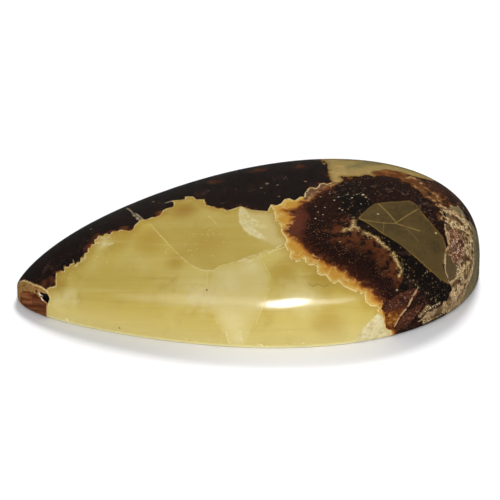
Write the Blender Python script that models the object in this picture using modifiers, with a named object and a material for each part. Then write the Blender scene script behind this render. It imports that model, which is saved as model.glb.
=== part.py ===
"""Pear-cut cabochon of septarian calcite, 38 mm long, as one solid stone.

The stone lies on its flat back. +X runs along its length towards the round
end, +Y across it and +Z up. The origin is on the back, at mid-length.
A pear outline stands as a low upright girdle, and a dome closes over it to a
crown that lies nearer the round end. One small natural cavity opens beside
the tip, on the -Y flank.
"""
import math

import bmesh
import bpy
from mathutils import Matrix, Vector

MM = 0.001

# Driving dimensions.
LENGTH = 38.0 * MM
WIDTH = 22.8 * MM
HEIGHT = 7.4 * MM
GIRDLE_HEIGHT = 1.2 * MM
BACK_BEVEL = 0.35 * MM
CROWN_X = 9.7 * MM

# Outline: half width = sin(angle) * (1 + PEAR cos(angle) + SHOULDER cos(2 angle)).
# Angle 0 is the tip and 180 degrees the round end. The -Y side comes first.
PEAR = -0.315
SHOULDER = -0.044

# Dome: height share = (1 - share ** FLATNESS) ** (1 / ROUNDNESS), where share
# is 0 at the crown and 1 at the girdle. Both change from the round end to the tip.
FLATNESS = 3.6
FLATNESS_TO_TIP = 0.75
ROUNDNESS = 2.0
ROUNDNESS_TO_TIP = -0.8

# Cavity beside the tip. Its place is given in the dome's own terms, and its
# long axis is turned from the fall line of the dome towards the round end.
CAVITY_ANGLE = math.radians(23.7)
CAVITY_SHARE = 0.989
CAVITY_LENGTH = 1.35 * MM
CAVITY_BREADTH = 0.55 * MM
CAVITY_DEPTH = 0.45 * MM
CAVITY_TURN = math.radians(57)

# Fineness of the solid.
OUTLINE_STEPS = 96
DOME_RINGS = 26
BEVEL_SEGMENTS = 3
BEVEL_ANGLE = math.radians(60)
CAVITY_SUBDIVISIONS = 2
SLOPE_STEP = 0.0001


def clear_scene():
    for old in list(bpy.data.objects):
        bpy.data.objects.remove(old, do_unlink=True)


def new_collection(name):
    collection = bpy.data.collections.new(name)
    bpy.context.scene.collection.children.link(collection)
    return collection


def polished_calcite():
    material = bpy.data.materials.new("polished_calcite")
    material.use_nodes = True
    shader = material.node_tree.nodes["Principled BSDF"]
    shader.inputs["Base Color"].default_value = (0.45, 0.36, 0.14, 1.0)
    shader.inputs["Roughness"].default_value = 0.12
    shader.inputs["Metallic"].default_value = 0.0
    return material


def lobe(angle):
    """Half width of the pear before it is scaled to the stone's width."""
    return math.sin(angle) * (1 + PEAR * math.cos(angle) + SHOULDER * math.cos(2 * angle))


WIDEST_LOBE = max(lobe(math.pi * step / 720) for step in range(721))


def outline_point(angle):
    """Plan position on the pear outline."""
    x = -LENGTH / 2 * math.cos(angle)
    y = -WIDTH / 2 * lobe(angle) / WIDEST_LOBE
    return x, y


def dome_point(share, angle):
    """A point of the dome: share 0 is the crown, share 1 the top of the girdle."""
    x, y = outline_point(angle)
    to_tip = math.cos(angle)
    flatness = FLATNESS + FLATNESS_TO_TIP * to_tip
    roundness = ROUNDNESS + ROUNDNESS_TO_TIP * to_tip
    rise = (1 - share**flatness) ** (1 / roundness)
    return Vector((
        CROWN_X + share * (x - CROWN_X),
        share * y,
        GIRDLE_HEIGHT + (HEIGHT - GIRDLE_HEIGHT) * rise,
    ))


def extrude_loop(bm, edges, places):
    """Extrudes a closed loop of edges and moves each new vertex to its spoke's place."""
    spoke = bm.verts.layers.int["spoke"]
    made = bmesh.ops.extrude_edge_only(bm, edges=edges)["geom"]
    for vert in (item for item in made if isinstance(item, bmesh.types.BMVert)):
        vert.co = places[vert[spoke]]
    return [item for item in made if isinstance(item, bmesh.types.BMEdge) and item.is_boundary]


def stone_mesh():
    """Flat back, girdle and dome, grown upwards from the pear outline."""
    bm = bmesh.new()
    spoke = bm.verts.layers.int.new("spoke")
    circle = bmesh.ops.create_circle(bm, cap_ends=True, segments=OUTLINE_STEPS, radius=1.0)
    angles = []
    for index, vert in enumerate(circle["verts"]):
        angles.append(math.atan2(vert.co.y, vert.co.x))
        vert[spoke] = index
        vert.co = Vector((*outline_point(angles[-1]), 0.0))
    loop = list(bm.edges)
    for ring in range(DOME_RINGS + 1):
        share = math.cos(math.pi / 2 * ring / (DOME_RINGS + 1))
        loop = extrude_loop(bm, loop, [dome_point(share, angle) for angle in angles])
    top = bmesh.ops.contextual_create(bm, geom=loop)["faces"]
    crown = bmesh.ops.poke(bm, faces=top)["verts"][0]
    crown.co = Vector((CROWN_X, 0.0, HEIGHT))
    bmesh.ops.recalc_face_normals(bm, faces=bm.faces)
    mesh = bpy.data.meshes.new("pear_cabochon")
    bm.to_mesh(mesh)
    bm.free()
    return mesh


def cavity_frame():
    """Middle of the cavity's mouth, with axes along it, across it and into the stone."""
    middle = dome_point(CAVITY_SHARE, CAVITY_ANGLE)
    along_dome = dome_point(CAVITY_SHARE, CAVITY_ANGLE + SLOPE_STEP) - middle
    up_dome = dome_point(CAVITY_SHARE - SLOPE_STEP, CAVITY_ANGLE) - middle
    outward = along_dome.cross(up_dome).normalized()
    fall = (Vector((0, 0, -1)) + outward * outward.z).normalized()
    along = Matrix.Rotation(CAVITY_TURN, 3, outward) @ fall
    across = outward.cross(along)
    turn = Matrix((along, across, outward)).transposed()
    return middle, turn


def build_cavity(collection):
    """The body that is cut away: an egg half sunk into the dome."""
    middle, turn = cavity_frame()
    bpy.ops.mesh.primitive_ico_sphere_add(
        subdivisions=CAVITY_SUBDIVISIONS,
        radius=1.0,
        location=middle,
        rotation=turn.to_euler(),
        scale=(CAVITY_LENGTH / 2, CAVITY_BREADTH / 2, CAVITY_DEPTH),
    )
    cavity = bpy.context.object
    cavity.name = "cavity"
    cavity.hide_render = True
    cavity.display_type = "WIRE"
    for holder in list(cavity.users_collection):
        holder.objects.unlink(cavity)
    collection.objects.link(cavity)
    return cavity


def build_stone(collection, cavity):
    stone = bpy.data.objects.new("pear_cabochon", stone_mesh())
    stone.data.materials.append(polished_calcite())
    stone.data.shade_smooth()
    collection.objects.link(stone)
    bevel = stone.modifiers.new("back bevel", "BEVEL")
    bevel.width = BACK_BEVEL
    bevel.segments = BEVEL_SEGMENTS
    bevel.limit_method = "ANGLE"
    bevel.angle_limit = BEVEL_ANGLE
    cut = stone.modifiers.new("cavity", "BOOLEAN")
    cut.operation = "DIFFERENCE"
    cut.object = cavity


clear_scene()
cavity_cutter = build_cavity(new_collection("Cutters"))
build_stone(new_collection("Pear cabochon"), cavity_cutter)
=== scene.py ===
# %% [markdown]
# # A pear-cut calcite cabochon
#
# The real stone is a slice of a septarian nodule: mud that cracked as it dried, whose
# cracks filled first with dark aragonite and then with honey-yellow calcite. A cutter
# ground it to a pear with a domed top and a flat back, and polished it all over.
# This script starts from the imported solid, models the same form with a finer surface,
# maps the mineral borders onto it, and lights it like a stone on a white table.

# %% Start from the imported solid
import math

import bmesh
import bpy
import numpy as np
from mathutils import Matrix, Vector
from mathutils.geometry import barycentric_transform


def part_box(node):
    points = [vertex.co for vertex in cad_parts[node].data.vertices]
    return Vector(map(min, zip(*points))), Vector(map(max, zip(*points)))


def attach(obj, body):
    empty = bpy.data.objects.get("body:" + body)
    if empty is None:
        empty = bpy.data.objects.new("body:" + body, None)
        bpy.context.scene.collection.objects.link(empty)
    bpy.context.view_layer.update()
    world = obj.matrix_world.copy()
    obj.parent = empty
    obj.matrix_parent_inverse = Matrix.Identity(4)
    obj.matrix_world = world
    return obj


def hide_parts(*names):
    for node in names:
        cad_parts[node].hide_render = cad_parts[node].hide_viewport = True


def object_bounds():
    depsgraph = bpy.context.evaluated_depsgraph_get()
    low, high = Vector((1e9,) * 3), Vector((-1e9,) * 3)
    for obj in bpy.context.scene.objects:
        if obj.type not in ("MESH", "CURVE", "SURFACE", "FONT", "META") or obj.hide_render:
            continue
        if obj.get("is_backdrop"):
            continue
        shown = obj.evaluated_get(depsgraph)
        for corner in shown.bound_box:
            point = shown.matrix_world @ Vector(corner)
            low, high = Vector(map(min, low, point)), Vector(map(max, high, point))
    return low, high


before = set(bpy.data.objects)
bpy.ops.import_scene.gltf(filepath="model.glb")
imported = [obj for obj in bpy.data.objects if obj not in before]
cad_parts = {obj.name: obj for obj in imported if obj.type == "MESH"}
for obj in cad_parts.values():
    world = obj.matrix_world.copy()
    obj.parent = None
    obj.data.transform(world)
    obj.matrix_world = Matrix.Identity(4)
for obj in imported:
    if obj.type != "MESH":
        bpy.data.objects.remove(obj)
cad_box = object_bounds()
MM = 0.001
low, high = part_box("pear_cabochon")
LENGTH, WIDTH, HEIGHT = high - low
print(f"stone {LENGTH / MM:.2f} x {WIDTH / MM:.2f} x {HEIGHT / MM:.2f} mm")

# %% [markdown]
# ## The camera comes first
#
# The mineral borders below are read off the photograph, so the camera has to stand where
# the photographer's stood before they can be cast onto the stone. It looks down by 30
# degrees from the tip's side, through a long lens. A long lens could be guessed by eye,
# but a few known outline points fix it better: the lens and the distance here put the
# stone's outline where the photograph has it.

# %% Camera at the photograph's viewpoint
IMAGE = 500
CAMERA_AZIMUTH = math.radians(-9.5)
CAMERA_ELEVATION = math.radians(30)
CAMERA_DISTANCE = 8 * LENGTH
PIXELS_PER_MM = 12.235
ORIGIN_PIXEL = (249.1, 281.2)
SENSOR = 36.0

level = Vector((math.sin(CAMERA_AZIMUTH), -math.cos(CAMERA_AZIMUTH), 0))
to_camera = level * math.cos(CAMERA_ELEVATION) + Vector((0, 0, math.sin(CAMERA_ELEVATION)))
camera_right = Vector((0, 0, 1)).cross(to_camera).normalized()
camera_up = to_camera.cross(camera_right)
camera_place = to_camera * CAMERA_DISTANCE
off_right = (IMAGE / 2 - ORIGIN_PIXEL[0]) / PIXELS_PER_MM * MM
off_up = (ORIGIN_PIXEL[1] - IMAGE / 2) / PIXELS_PER_MM * MM
aim = camera_right * off_right + camera_up * off_up

camera_data = bpy.data.cameras.new("camera")
camera_data.sensor_width = SENSOR
camera_data.lens = PIXELS_PER_MM / MM * CAMERA_DISTANCE / IMAGE * SENSOR
camera_data.clip_start = 10 * MM
camera = bpy.data.objects.new("camera", camera_data)
camera.location = camera_place
camera.rotation_euler = (aim - camera_place).to_track_quat("-Z", "Y").to_euler()
bpy.context.scene.collection.objects.link(camera)
bpy.context.scene.camera = camera
print(f"lens {camera_data.lens:.0f} mm at {CAMERA_DISTANCE / MM:.0f} mm")

# %% [markdown]
# ## The blank
#
# A cutter starts from a sawn, roughly round preform. The mesh does too: four circles of
# points, bridged to a closed disc. Its rings will become the contour lines of the dome,
# its rim the girdle, and its underside the flat back. Rings suit a cabochon better than a
# square grid, because the girdle then stays one clean line all the way round.

# %% Four rings
SPOKES = 288
DOME_ROWS = 84
BACK_ROWS = 12
RIM_DROP = 0.1


def deselect_all():
    bpy.ops.object.select_all(action="DESELECT")


deselect_all()
bpy.ops.mesh.primitive_circle_add(vertices=SPOKES, radius=1 / DOME_ROWS)
stone = bpy.context.object
stone.name = "polished_stone"
bpy.ops.object.mode_set(mode="EDIT")
bpy.ops.mesh.select_mode(type="VERT")
bpy.ops.mesh.primitive_circle_add(vertices=SPOKES, radius=1)
bpy.ops.mesh.primitive_circle_add(vertices=SPOKES, radius=1, location=(0, 0, -RIM_DROP))
bpy.ops.mesh.primitive_circle_add(
    vertices=SPOKES, radius=1 / BACK_ROWS, location=(0, 0, -RIM_DROP)
)
print(f"four rings of {SPOKES} points")

# %% Bridge the rings to a closed disc
GIRDLE_ROWS = 10
LEVEL = 1e-5


def select_places(piece, test):
    """In edit mode, selects only the vertices whose place passes the test."""
    bpy.ops.mesh.select_all(action="DESELECT")
    cage = bmesh.from_edit_mesh(piece.data)
    for vertex in cage.verts:
        vertex.select_set(test(vertex.co))
    cage.select_flush(True)
    bmesh.update_edit_mesh(piece.data)


# A small ring already stands one row from the middle, so a disc takes one cut less.
bands = (
    (lambda place: place.z > -LEVEL, DOME_ROWS - 2),
    (lambda place: place.xy.length > 1 - LEVEL, GIRDLE_ROWS - 1),
    (lambda place: place.z < LEVEL - RIM_DROP, BACK_ROWS - 2),
)
for test, cuts in bands:
    select_places(stone, test)
    bpy.ops.mesh.bridge_edge_loops(number_cuts=cuts, interpolation="LINEAR")
bpy.ops.mesh.select_all(action="SELECT")
bpy.ops.mesh.fill_holes(sides=0)
bpy.ops.mesh.select_all(action="DESELECT")
bpy.ops.mesh.select_face_by_sides(number=4, type="GREATER")
bpy.ops.mesh.poke()
bpy.ops.mesh.select_all(action="SELECT")
bpy.ops.mesh.normals_make_consistent(inside=False)
bpy.ops.object.mode_set(mode="OBJECT")
print(f"blank of {len(stone.data.polygons)} faces")

# %% [markdown]
# ## From the blank to the pear
#
# Each point of the blank knows its row (0 at the crown, 1 at the top of the girdle, 2 at
# the edge of the back, 3 on the back under the crown) and its angle round the stone (0 at
# the tip). One formula, the same one that shaped the solid, turns the two into a place.
# Both are kept as attributes, so that a finer mesh can be put on the same surface later.

# %% Pear outline
PEAR = -0.315
SHOULDER = -0.044
ANGLE_STEP = 1e-4


def lobe(angle):
    """Half width of the pear before it is scaled to the stone's width."""
    return np.sin(angle) * (1 + PEAR * np.cos(angle) + SHOULDER * np.cos(2 * angle))


WIDEST = lobe(np.linspace(0, math.pi, 721)).max()


def outline(angle):
    """Points of the pear in plan."""
    return np.stack((-LENGTH / 2 * np.cos(angle), -WIDTH / 2 * lobe(angle) / WIDEST), axis=-1)


def inward(angle):
    """Unit directions into the stone, square to its outline."""
    along = outline(angle + ANGLE_STEP) - outline(angle - ANGLE_STEP)
    along /= np.linalg.norm(along, axis=-1, keepdims=True)
    return np.stack((-along[..., 1], along[..., 0]), axis=-1)


print(f"outline reaches x = {outline(math.pi)[0] / MM:.1f} mm at the round end")

# %% Dome, girdle and back
GIRDLE_HEIGHT = 1.2 * MM
BACK_BEVEL = 0.35 * MM
CROWN = np.array((9.7, 0.0)) * MM
FLATNESS = 3.6
FLATNESS_TO_TIP = 0.75
ROUNDNESS = 2.0
ROUNDNESS_TO_TIP = -0.8
STRAIGHT_GIRDLE = 0.6


def surface(row, angle):
    """Places on the stone from rows and angles."""
    rim = outline(angle)
    share = np.sin(math.pi / 2 * np.clip(row, 0, 1))
    to_tip = np.cos(angle)
    flatness = FLATNESS + FLATNESS_TO_TIP * to_tip
    roundness = ROUNDNESS + ROUNDNESS_TO_TIP * to_tip
    dome = CROWN + share[..., None] * (rim - CROWN)
    rise = (1 - share**flatness) ** (1 / roundness)
    dome_height = GIRDLE_HEIGHT + (HEIGHT - GIRDLE_HEIGHT) * rise
    down = np.clip(row - 1, 0, 1)
    turn = math.pi / 2 * np.clip((down - STRAIGHT_GIRDLE) / (1 - STRAIGHT_GIRDLE), 0, 1)
    wall = rim + BACK_BEVEL * (1 - np.cos(turn))[..., None] * inward(angle)
    straight = np.clip(down / STRAIGHT_GIRDLE, 0, 1)
    wall_height = GIRDLE_HEIGHT * (1 - straight) + BACK_BEVEL * (straight - np.sin(turn))
    back = CROWN + np.clip(3 - row, 0, 1)[..., None] * (wall - CROWN)
    plan = np.where((row <= 1)[..., None], dome, np.where((row <= 2)[..., None], wall, back))
    height = np.where(row <= 1, dome_height, np.where(row <= 2, wall_height, 0.0))
    return np.concatenate((plan, height[..., None]), axis=-1)


print(f"crown at {surface(np.zeros(1), np.zeros(1))[0] / MM} mm")

# %% Put the blank on the surface
def read_floats(piece, name):
    values = np.zeros(len(piece.data.vertices))
    piece.data.attributes[name].data.foreach_get("value", values)
    return values


def write_floats(piece, name, values):
    layer = piece.data.attributes.get(name) or piece.data.attributes.new(name, "FLOAT", "POINT")
    layer.data.foreach_set("value", np.asarray(values, dtype=np.float32))


def put_on_surface(piece):
    places = surface(read_floats(piece, "row"), read_floats(piece, "angle"))
    piece.data.vertices.foreach_set("co", places.astype(np.float32).ravel())
    piece.data.update()


blank = np.zeros(len(stone.data.vertices) * 3)
stone.data.vertices.foreach_get("co", blank)
blank = blank.reshape(-1, 3)
radius = np.hypot(blank[:, 0], blank[:, 1])
drop = -blank[:, 2] / RIM_DROP
row = np.where(drop < LEVEL, radius, np.where(drop < 1 - LEVEL, 1 + drop, 3 - radius))
write_floats(stone, "row", row)
quarter = math.pi / 2
turned = np.arctan2(blank[:, 1], blank[:, 0]) + quarter + LEVEL
write_floats(stone, "angle", turned % (2 * math.pi) - quarter - LEVEL)
put_on_surface(stone)
bpy.ops.object.shade_smooth()
print(f"pear of {max(stone.dimensions) / MM:.1f} mm")

# %% [markdown]
# ## An unrolled map of the surface
#
# The borders of the minerals wind over dome, girdle and back, so they are drawn on a map
# that is unrolled from the crown outwards: a point's distance from the crown on the map
# is its distance along the stone's surface. Widths in millimetres then stay true down the
# steep sides, where a plan view would squeeze them. The back takes the same map, because
# the minerals run through the stone from face to face.

# %% Unrolled map
TABLE_ANGLES = np.linspace(0, 2 * math.pi, 361)
TABLE_ROWS = np.linspace(0, 2, 401)
grid_row, grid_angle = np.meshgrid(TABLE_ROWS, TABLE_ANGLES, indexing="ij")
steps = np.linalg.norm(np.diff(surface(grid_row, grid_angle), axis=0), axis=-1)
REACH = np.concatenate((np.zeros((1, len(TABLE_ANGLES))), np.cumsum(steps, axis=0))) / MM


def unroll(row, angle):
    """Map places in millimetres from rows and angles."""
    row_at = np.clip(row, 0, 2) / TABLE_ROWS[1]
    angle_at = angle % (2 * math.pi) / TABLE_ANGLES[1]
    r0 = np.minimum(row_at.astype(int), len(TABLE_ROWS) - 2)
    a0 = np.minimum(angle_at.astype(int), len(TABLE_ANGLES) - 2)
    r = row_at - r0
    a = angle_at - a0
    near = REACH[r0, a0] * (1 - r) + REACH[r0 + 1, a0] * r
    far = REACH[r0, a0 + 1] * (1 - r) + REACH[r0 + 1, a0 + 1] * r
    reach = (near * (1 - a) + far * a) * np.clip(3 - row, 0, 1)
    outwards = outline(angle) - CROWN
    outwards /= np.linalg.norm(outwards, axis=-1, keepdims=True)
    return reach[:, None] * outwards


def map_places(piece):
    return unroll(read_floats(piece, "row"), read_floats(piece, "angle"))


print(f"the map reaches {REACH[-1].max():.1f} mm from the crown")

# %% [markdown]
# ## Casting photograph points onto the stone
#
# A border is a short list of points read off the 500-pixel photograph. Each point is cast
# from the camera onto the stone and turned into a place on the map. A border that leaves
# the photograph's view over the far side goes on straight outwards from the crown.

# %% Cast points
# A border that is pushed this many times as far from the crown clears the whole back.
RIM_PUSH = 4.0
first_map = map_places(stone)
bpy.context.view_layer.update()


def cast(pixel):
    """Place on the map of one photograph pixel, or None beside the stone."""
    focal = PIXELS_PER_MM / MM * CAMERA_DISTANCE
    ray = Vector(((pixel[0] - IMAGE / 2) / focal, (IMAGE / 2 - pixel[1]) / focal, -1))
    ray = camera.rotation_euler.to_matrix() @ ray.normalized()
    found, place, _, face = stone.ray_cast(camera_place, ray)
    if not found:
        return None
    corners = list(stone.data.polygons[face].vertices)[:3]
    here = [stone.data.vertices[corner].co for corner in corners]
    there = [Vector((*first_map[corner], 0)) for corner in corners]
    return np.array(barycentric_transform(place, *here, *there).xy)


def seen(pixels):
    """Map places of photograph points. Points that just miss the stone are dropped."""
    return [spot for spot in map(cast, pixels) if spot is not None]


def pushed(pixels):
    """The same, carried straight outwards past the rim of the stone."""
    return [spot * RIM_PUSH for spot in seen(pixels)]


def area(*parts):
    """One closed border, or one line, from its parts in order."""
    return np.array([spot for part in parts for spot in part])


print(f"the middle of the photograph is at {cast((IMAGE / 2, IMAGE / 2))} mm on the map")

# %% [markdown]
# ## Mineral borders
#
# Black aragonite lines the far side of the stone with a sawtooth contact. A brown
# aragonite band crosses to the near side in rounded lobes, and behind it lie a speckled
# black seam, a wedge of grey-brown limestone, and the cream crust where the crack met the
# nodule's wall. Every border is a closed line on the map, with only the corners that its
# shape needs. The finer teeth and crumbs are left to the material.

# %% Black aragonite along the far side
BLACK_CONTACT = [
    (18.5, 283), (24, 280.5), (33, 284), (40, 286), (46, 290), (50, 287), (55.8, 286), (55.8, 272.8),
    (59, 273.2), (60.5, 271.2), (64.2, 271.4), (64.5, 266.4), (69, 266.6), (70, 264.2), (73.3, 263.3),
    (73, 258.6), (74.9, 265.4), (78, 262.2), (80, 262.4), (81, 257.8), (83.6, 257.8), (84.4, 253.4),
    (87.6, 252.4), (88, 248.4), (91, 247.6), (91.6, 244.6), (94.4, 244), (94.6, 239.8), (97, 238.6),
    (98.4, 235.6), (103.6, 236.2), (105, 233.6), (110, 234.6), (112, 231.6), (117, 231.8),
    (121, 229.6), (129, 231.4), (133.3, 230), (134.6, 225.4), (137.5, 222.7), (140, 219.6),
    (147, 219.6), (151, 217.6), (155, 217.4), (160, 215.5), (163, 210.5),
    (166, 208.7), (173.7, 206.8), (173.7, 202.8), (171.6, 200.7), (184.9, 199.7), (185.4, 196.6),
    (193, 196.6), (196, 199.5), (204.3, 199.7), (205.8, 205.3), (213.5, 206.8), (216.5, 208.9),
    (222.7, 208.4), (226.7, 210.9), (241, 206.3), (251, 210), (267.6, 211.4), (270.6, 205),
]
LOBES_BEHIND = [
    (270.7, 204.6), (276, 206), (281.8, 203.7), (285, 199.5), (289, 198.6), (293, 200.5),
    (297, 200), (300, 197), (305, 197.2), (305.5, 192.5), (307.7, 190.7), (309, 188), (312.4, 187.5),
    (315.5, 189), (318.8, 187), (320, 184), (323.5, 183.3), (327, 184.5), (331.8, 182.9),
    (334.5, 180), (330.5, 175.5), (331.5, 170), (330, 163.5),
]
BLACK_RIM = [
    (330, 162.5), (300, 163.5), (260, 168), (200, 182), (150, 198.5), (100, 220.5), (60, 244),
    (36, 264.5), (24, 279), (19, 284),
]
borders = {"black": area(seen(BLACK_CONTACT), seen(LOBES_BEHIND), pushed(BLACK_RIM))}
print(f"black aragonite has {len(borders['black'])} corners")

# %% Brown aragonite band and its core
NODULE_CONTACT = [
    (270.7, 204.6), (274.9, 212), (275.8, 220.3), (281.4, 225.4), (281.8, 231.4), (285.5, 237),
    (287.4, 239.8), (285.1, 245.3), (288, 250), (291.5, 252), (290, 256), (292, 259.5),
    (296.6, 261.5), (301, 260), (305.4, 257.3), (305.9, 262.4), (310, 264.8), (315.1, 264.3),
    (317.9, 267), (317.4, 273), (321, 275), (326.2, 274.5), (328.5, 278), (331.8, 282.8),
    (336.4, 283), (338.7, 280.5), (343.8, 286), (352.1, 289.7), (358.6, 292.5), (365, 294.3),
    (366, 301.7), (370.6, 305.4), (376.2, 306), (379.4, 313.8), (383.1, 319.3), (385, 329),
    (391, 331), (396, 335),
]
NODULE_RIM = [
    (396, 334), (412, 330), (430, 321), (448, 309), (462, 297), (472, 282), (475, 262), (473, 235),
    (463, 208), (448, 191.5), (430, 180.5), (400, 169.5), (370, 163.8), (345, 162), (330, 162.5),
]
CORE_CONTACT = [
    (334, 184), (327, 186.5), (322, 189), (315, 191.5), (311, 196), (307, 199.5), (300, 201.5),
    (297, 207), (291, 208.5), (280.4, 209.7), (287.4, 213.9), (292, 217.6), (289.2, 223.1),
    (284.8, 227), (284.2, 231.4), (288.3, 237.9), (296.6, 239.8), (297.6, 243.5), (303.1, 249),
    (306.8, 253.6), (311.4, 256.4), (314.2, 261), (319.8, 261), (325.3, 266.6), (331.8, 267.5),
    (337.3, 270.3), (346.6, 274.9), (347.5, 278.6), (354.9, 282.3), (361.4, 287.9), (370.6, 292.5),
    (379, 301.7), (381, 310), (383, 314), (387, 327), (393, 333),
]
borders |= {
    "nodule": area(seen(NODULE_CONTACT), pushed(NODULE_RIM), seen(reversed(LOBES_BEHIND))),
    "core": area(seen(CORE_CONTACT), pushed(NODULE_RIM), seen([(333, 170), (336, 178)])),
}
print({name: len(border) for name, border in borders.items()})

# %% Seam, crumbs and wedge
SEAM = [
    (336, 186), (344, 182), (356, 188), (368, 198), (374.7, 203.5), (367.4, 208.7), (358, 218),
    (367.4, 223.3), (382, 233.6), (396.7, 242.4), (411.4, 254.2), (426, 267.4), (439.2, 279.1),
    (449.5, 285), (452, 292), (447, 300), (438, 305), (428, 300), (417, 288), (404, 292),
    (398, 289), (404, 278), (401, 268), (398, 262), (392.8, 253.6), (383.6, 245.3), (375.3, 237),
    (366, 233.3), (353, 225), (350, 215), (342, 206), (337, 196),
]
CRUMBS = [
    (343, 232), (346, 227.5), (353, 223.5), (360, 227), (366, 231), (375, 234.5), (385, 243),
    (391, 247.5), (396, 254), (399, 262), (403, 268), (402, 275), (398, 273), (396, 265),
    (391, 258), (386, 250), (378, 242.5), (368, 238), (360, 234), (352, 229.5), (347, 235),
]
WEDGE = [
    (357.8, 218.2), (367.4, 208.7), (374.7, 203.5), (398.2, 201.3), (409.9, 200.6), (415.8, 204.3),
    (426, 217.5), (436.3, 229.2), (443.6, 238), (446.6, 249.7), (442.2, 264.4), (445.1, 274.7),
    (449.5, 285), (439.2, 279.1), (426, 267.4), (411.4, 254.2), (396.7, 242.4), (382, 233.6),
    (367.4, 223.3),
]
borders |= {
    "seam": area(seen(SEAM)),
    "crumbs": area(seen(CRUMBS)),
    "wedge": area(seen(WEDGE)),
}
print(f"the wedge has {len(borders['wedge'])} corners")

# %% Crust, tan patch and curl
LENS = [
    (449, 229), (458, 230), (463, 241), (463, 254), (459, 265), (453, 262), (450, 253), (450, 240),
]
OLIVE = [(446, 251), (453, 262), (457, 267), (455.5, 278), (449, 283), (445, 273)]
CRUST_INNER = [
    (441, 206.5), (444, 212), (447, 222), (444.5, 228), (446.7, 235.3), (448.8, 245.5),
    (445.7, 251.6), (444.2, 261.8), (445.7, 272), (448.8, 281.2), (452, 291), (446, 301),
    (438, 307), (428, 313), (418, 322), (411, 330),
]
CRUST_OUTER = [
    (419, 330), (431, 322.5), (447, 312.5), (457, 304.5), (464, 296), (468.5, 284), (474, 268),
    (474, 251), (472, 231), (465, 215), (458.5, 206), (448, 208),
]
TAN = [
    (327, 162.5), (329, 172), (328.5, 176), (333, 182.5), (340, 183), (343, 180), (340.5, 176.6),
    (350.4, 176.8), (358.4, 176.4), (368.2, 174.6), (374, 177), (384, 171), (395.9, 171.5),
    (404.8, 174), (418.2, 177.5), (428, 180),
]
TAN_RIM = [(428, 180), (400, 169.5), (370, 163.8), (345, 162), (330, 162.5)]
CURL = [
    (409, 176.5), (417, 177), (424.5, 182.5), (430, 188.5), (437, 193), (441, 199), (441.5, 206),
    (443, 211), (438, 208), (436, 201), (431, 197.5), (425, 196), (420, 189), (413, 183),
]
RUSSET = [(424, 182), (430, 188), (437, 193), (441, 199), (443, 207), (449, 208), (457, 205)]
RUSSET_RIM = [(457, 203), (448, 191.5), (430, 180.5)]
borders |= {
    "lens": area(seen(LENS)),
    "olive": area(seen(OLIVE)),
    "crust": area(seen(CRUST_INNER), seen(CRUST_OUTER)),
    "girdle": area(seen(CRUST_OUTER), pushed(list(reversed(NODULE_RIM))[6:])),
    "tan": area(seen(TAN), pushed(TAN_RIM)),
    "curl": area(seen(CURL)),
    "russet": area(seen(RUSSET), pushed(RUSSET_RIM)),
}
print(f"{len(borders)} borders so far")

# %% Outlines of blades, corner and tip
BLADE_ONE = [
    (380.9, 308.8), (388, 302), (395.7, 295.5), (405, 291.5), (415, 288), (420, 292), (409, 304),
    (400, 310), (392, 311.5), (386, 312.5),
]
BLADE_TWO = [
    (396, 327), (401, 318), (409, 310), (417.1, 305), (424.5, 304.5), (414, 318), (404.9, 329),
]
EMBERS = [
    (384.5, 313), (393, 310.8), (403, 308), (410, 303), (403, 313), (396, 325.5), (391, 330.5),
    (386, 328),
]
CORNER = [
    (391, 331), (385, 329), (383.1, 317), (378, 313.5), (369, 322), (361, 331), (354.5, 341),
]
CORNER_RIM = [(354.5, 341), (372, 338), (394, 331)]
TIP = [
    (19, 282), (24, 280.4), (33.2, 284.3), (41.5, 287.2), (47, 291.3), (50.3, 297), (48.5, 304.6),
    (47.3, 312), (47.3, 317),
]
TIP_RIM = [(47.3, 317), (36, 311), (26, 305), (20, 297), (18.5, 288)]
TIP_BROWN = [
    (20, 293), (24, 291), (30, 291.5), (36, 293.5), (40, 297.5), (43.5, 301.5), (47, 304),
    (46.5, 317.5),
]
HOLE = [
    (39.5, 291.5), (43, 292.8), (47.3, 293.8), (49.8, 298.8), (48.1, 304), (44.8, 301.3),
    (40.6, 296.5),
]
borders |= {
    "blade_one": area(seen(BLADE_ONE)),
    "blade_two": area(seen(BLADE_TWO)),
    "embers": area(seen(EMBERS)),
    "corner": area(seen(CORNER), pushed(CORNER_RIM)),
    "tip": area(seen(TIP), pushed(TIP_RIM)),
    "tip_brown": area(seen(TIP_BROWN), pushed(TIP_RIM)),
    "hole": area(seen(HOLE)),
}
print(f"{len(borders)} borders so far")

# %% [markdown]
# ## Inside the calcite
#
# Calcite splits along flat planes, so the honey-coloured part is broken into blocks that
# meet at fine pale lines. One block behind is a shade deeper, one in the middle is cloudy
# where a healed crack scatters the light, and a white crescent shows a fresh one.

# %% Blocks in the calcite, shades in the band
BLOCK = [
    (150.2, 222), (158, 232.5), (166.5, 242), (175, 251), (183.9, 259.4), (193, 266.5),
    (203.3, 270.6), (213.5, 270.6), (220.6, 266), (231.8, 263), (248.2, 259.4), (257.3, 256.8),
    (269.6, 252.2), (277.8, 249.2), (284.9, 248), (300, 240), (300, 205), (280, 200), (200, 190),
    (160, 205),
]
PALE = [
    (213, 271), (220.6, 266), (231.8, 263), (248.2, 259.4), (261.4, 256.5), (265, 267),
    (270.6, 278.8), (268.5, 290), (262.4, 307.3), (257, 320), (250, 334), (245, 346), (229, 346),
    (224, 333), (217, 322), (209.5, 311), (206.5, 300), (207.5, 288),
]
CRESCENT = [
    (240.5, 206), (244, 206.5), (247, 211), (250, 216), (254, 219), (259, 221.5), (257, 227),
    (252, 226), (255.5, 230), (261, 233.5), (266, 239), (258, 238), (250, 235), (243.5, 229.5),
    (239.6, 222), (238.8, 214),
]
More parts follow.
